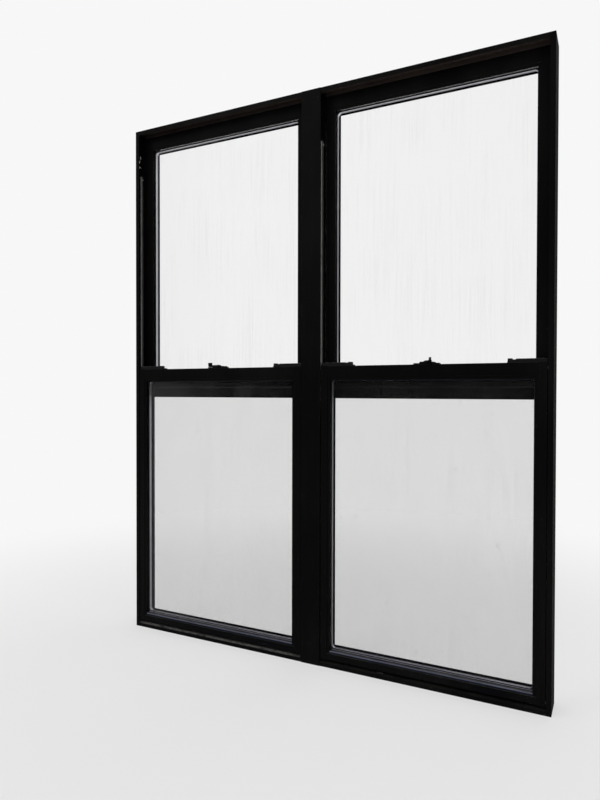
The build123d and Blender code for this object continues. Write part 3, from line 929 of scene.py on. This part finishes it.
class SASHWINDOW_OT_screens(Operator):
    """Add the splines and pull tabs of the insect screens"""

    bl_idname = "sashwindow.screens"
    bl_label = "Screens"

    def execute(self, context):
        looks, trim = context.scene.sashwindow_looks, context.scene.sashwindow_trim
        rubber = moulded("Spline_black", (0.006, 0.006, 0.006), 0.6, looks, 0.0016)
        nylon = moulded("Tab_black", (0.010, 0.010, 0.011), 0.45, looks)
        low, high = corners("screen_frames")
        mesh_low, mesh_high = corners("insect_mesh")
        half = mesh_high.x - hinge("right_tilt").x
        # Spline: how far it laps over the mesh's edge, and how far it stands out
        lap, proud = 0.0055, 0.00045
        # Pull tabs: distance from the middle of a unit, and half their width
        apart, grip = 0.17, 0.011
        for unit in UNITS:
            middle = hinge(f"{unit}_tilt").x
            solid = Solid()
            rings = []
            for across, out in ((0.0, 0.0), (0.1, 0.6), (0.35, 1.0), (0.65, 1.0), (0.9, 0.6), (1.0, 0.0)):
                t = lap - across * trim.spline
                y = high.y + out * proud
                x0, x1 = middle - half - t, middle + half + t
                z0, z1 = mesh_low.z - t, mesh_high.z + t
                rings.append([(x0, y, z0), (x1, y, z0), (x1, y, z1), (x0, y, z1)])
            solid.rings(rings, close=True)
            solid.object(f"{unit}_screen_spline", "frame", rubber, smooth=50)
            solid = Solid()
            for side in SIDES.values():
                x = middle + side * apart
                outline = [(0.0, 0.003), (-0.0016, 0.004), (-0.002, 0.015), (-0.0008, 0.019), (0.0, 0.019)]
                outline = [(low.y + a, low.z + b) for a, b in outline]
                solid.prism(outline, 0, x - grip, x + grip)
            solid.object(f"{unit}_screen_tabs", "frame", nylon, bevel=0.0004)
        return {"FINISHED"}


class SASHWINDOW_OT_weeps(Operator):
    """Add the weep hoods on the outer face of the bottom rails"""

    bl_idname = "sashwindow.weeps"
    bl_label = "Weep hoods"

    def execute(self, context):
        looks = context.scene.sashwindow_looks
        nylon = moulded("Hood_black", (0.008, 0.008, 0.009), 0.5, looks)
        lift = 0.013
        for unit in UNITS:
            for sash in ("lower", "upper"):
                low, high = corners(f"{unit}_{sash}_bottom_rail")
                solid = Solid()
                for share in (0.16, 0.84):
                    self.hood(solid, low.x + share * (high.x - low.x), high.y, low.z + lift)
                solid.object(f"{unit}_{sash}_weep_hoods", f"{unit}_{sash}_sash", nylon, bevel=0.0002)
        return {"FINISHED"}

    def hood(self, solid, x, face, z):
        """Small shell with an open foot: a sloped back between two cheeks."""
        half, tall, rise, skin = 0.010, 0.0055, 0.0016, 0.0005
        slope = [(face, z + tall), (face + rise, z), (face + rise - skin, z), (face, z + tall - 0.0012)]
        solid.prism(slope, 0, x - half, x + half)
        cheek = [(face, z + tall), (face + rise, z), (face, z)]
        for side in SIDES.values():
            edge = x + side * half
            solid.prism(cheek, 0, *sorted((edge, edge + side * 0.0006)))


class SASHWINDOW_OT_wear(Operator):
    """Add the broken clip that is left above one balance tube"""

    bl_idname = "sashwindow.wear"
    bl_label = "Broken clip"

    def execute(self, context):
        looks, trim = context.scene.sashwindow_looks, context.scene.sashwindow_trim
        pale = moulded("Clip_pale", tuple(looks.clip_tone), 0.5, looks)
        dice = random.Random(trim.seed)
        web = corners("outer_jamb_left")[0].x + 0.002
        # Height, tallness, half width and lean of each shard
        shards = ((1.668, 0.011, 0.005, 0.3), (1.688, 0.017, 0.0028, 0.25), (1.704, 0.016, 0.0016, -0.12))
        solid = Solid()
        for z, tall, wide, lean in shards:
            y = -0.024 + dice.uniform(-0.003, 0.003)
            points = []
            for i in range(9):
                a = 2 * math.pi * i / 9
                r = dice.uniform(0.5, 1.0)
                rise = tall * 0.5 * r * math.sin(a)
                points.append((y + wide * r * math.cos(a) + lean * rise, z + rise))
            solid.prism(points, 0, web, web + dice.uniform(0.002, 0.005))
        solid.object("broken_clip", "frame", pale, bevel=0.0004)
        return {"FINISHED"}


class SASHWINDOW_OT_stage(Operator):
    """Set the camera, the pale floor and the soft light"""

    bl_idname = "sashwindow.stage"
    bl_label = "Stage"

    def execute(self, context):
        stage = context.scene.sashwindow_stage
        camera = bpy.data.cameras.new("Camera")
        camera.sensor_width, camera.lens = 36.0, stage.lens
        camera.clip_start, camera.clip_end = 0.05, 60.0
        eye = bpy.data.objects.new("Camera", camera)
        eye.location = stage.eye
        turn = Matrix.Rotation(stage.pan, 4, "Z") @ Matrix.Rotation(stage.tilt, 4, "X")
        eye.rotation_euler = (turn @ Matrix.Rotation(stage.roll, 4, "Z")).to_euler()
        context.scene.collection.objects.link(eye)
        context.scene.camera = eye
        self.floor(stage.backdrop)
        self.light("Key", stage.key, (-2.2, -3.2, 3.4), 2.6)
        self.light("Fill", stage.key * 0.55, (3.4, -2.4, 2.2), 3.0)
        self.light("Back", stage.key * 0.7, (0.8, 3.4, 3.6), 3.0)
        world = bpy.data.worlds.new("World")
        context.scene.world = world
        world.use_nodes = True
        nodes, links = world.node_tree.nodes, world.node_tree.links
        ray = nodes.new("ShaderNodeLightPath")
        seen = nodes.new("ShaderNodeMix")
        seen.inputs[2].default_value = stage.world
        seen.inputs[3].default_value = stage.backdrop
        links.new(ray.outputs["Is Camera Ray"], seen.inputs[0])
        links.new(seen.outputs[0], nodes["Background"].inputs["Strength"])
        nodes["Background"].inputs["Color"].default_value = (1.0, 1.0, 1.0, 1.0)
        context.scene.view_settings.view_transform = "Standard"
        # Enough for a look through both sashes and the screen, one behind the other
        context.scene.cycles.transparent_max_bounces = 24
        return {"FINISHED"}

    def floor(self, backdrop):
        """Pale floor that fades into the white surroundings far from the window."""
        graph = Graph("Floor_pale")
        x, y = graph.axes()[:2]
        ray = graph.node("ShaderNodeLightPath").socket.node.outputs
        seen = Value(graph, ray["Is Camera Ray"]) + Value(graph, ray["Is Glossy Ray"])
        seen = (seen + Value(graph, ray["Is Transmission Ray"])).clamp()
        far = (graph.ramp((x * x + y * y) ** 0.5, 0.75, 2.6) * 0.45 + 0.55) * seen
        tone = graph.mix(graph.noise(0.6, 4, 0.5), (0.87, 0.87, 0.87), (0.90, 0.90, 0.90))
        matt = {"Base_Color": tone, "Roughness": 0.9, "Specular_IOR_Level": 0.1}
        near = graph.node("ShaderNodeBsdfPrincipled", **matt)
        white = graph.node("ShaderNodeEmission", Color=(backdrop, backdrop, backdrop))
        graph.show(graph.node("ShaderNodeMixShader", i0=far, i1=near, i2=white))
        data = bpy.data.meshes.new("Floor")
        sides, reach = 64, 20
        data.from_pydata([(a, b, 0) for a, b in circle(reach, sides)], [], [tuple(range(sides))])
        data.materials.append(graph.material)
        floor = bpy.data.objects.new("Floor", data)
        bpy.context.scene.collection.objects.link(floor)

    def light(self, name, power, place, size):
        """Soft square light aimed at the middle of the window."""
        data = bpy.data.lights.new(name, "AREA")
        data.energy, data.size = power, size
        lamp = bpy.data.objects.new(name, data)
        lamp.location = place
        middle = Vector((0, 0, 0.9))
        lamp.rotation_euler = (Vector(place) - middle).to_track_quat("Z", "Y").to_euler()
        bpy.context.scene.collection.objects.link(lamp)


class SASHWINDOW_PT_panel(Panel):
    """Settings and steps in the sidebar"""

    bl_idname = "SASHWINDOW_PT_panel"
    bl_label = "Sash window"
    bl_space_type = "VIEW_3D"
    bl_region_type = "UI"
    bl_category = "Sash window"

    def draw(self, context):
        for group in ("looks", "trim", "stage"):
            settings = getattr(context.scene, f"sashwindow_{group}")
            box = self.layout.box()
            for name in settings.__annotations__:
                box.prop(settings, name)
        for operator in OPERATORS:
            self.layout.operator(operator.bl_idname)


GROUPS = {"looks": SashWindowLooks, "trim": SashWindowTrim, "stage": SashWindowStage}
OPERATORS = (
    SASHWINDOW_OT_finishes,
    SASHWINDOW_OT_seals,
    SASHWINDOW_OT_fasteners,
    SASHWINDOW_OT_screens,
    SASHWINDOW_OT_weeps,
    SASHWINDOW_OT_wear,
    SASHWINDOW_OT_stage,
)
CLASSES = (*GROUPS.values(), *OPERATORS, SASHWINDOW_PT_panel)


def register():
    for cls in CLASSES:
        bpy.utils.register_class(cls)
    for name, group in GROUPS.items():
        setattr(bpy.types.Scene, f"sashwindow_{name}", PointerProperty(type=group))


def unregister():
    for name in GROUPS:
        delattr(bpy.types.Scene, f"sashwindow_{name}")
    for cls in reversed(CLASSES):
        bpy.utils.unregister_class(cls)


def main():
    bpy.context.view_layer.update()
    register()
    for operator in OPERATORS:
        group, name = operator.bl_idname.split(".")
        getattr(getattr(bpy.ops, group), name)()


if __name__ == "__main__":
    main()
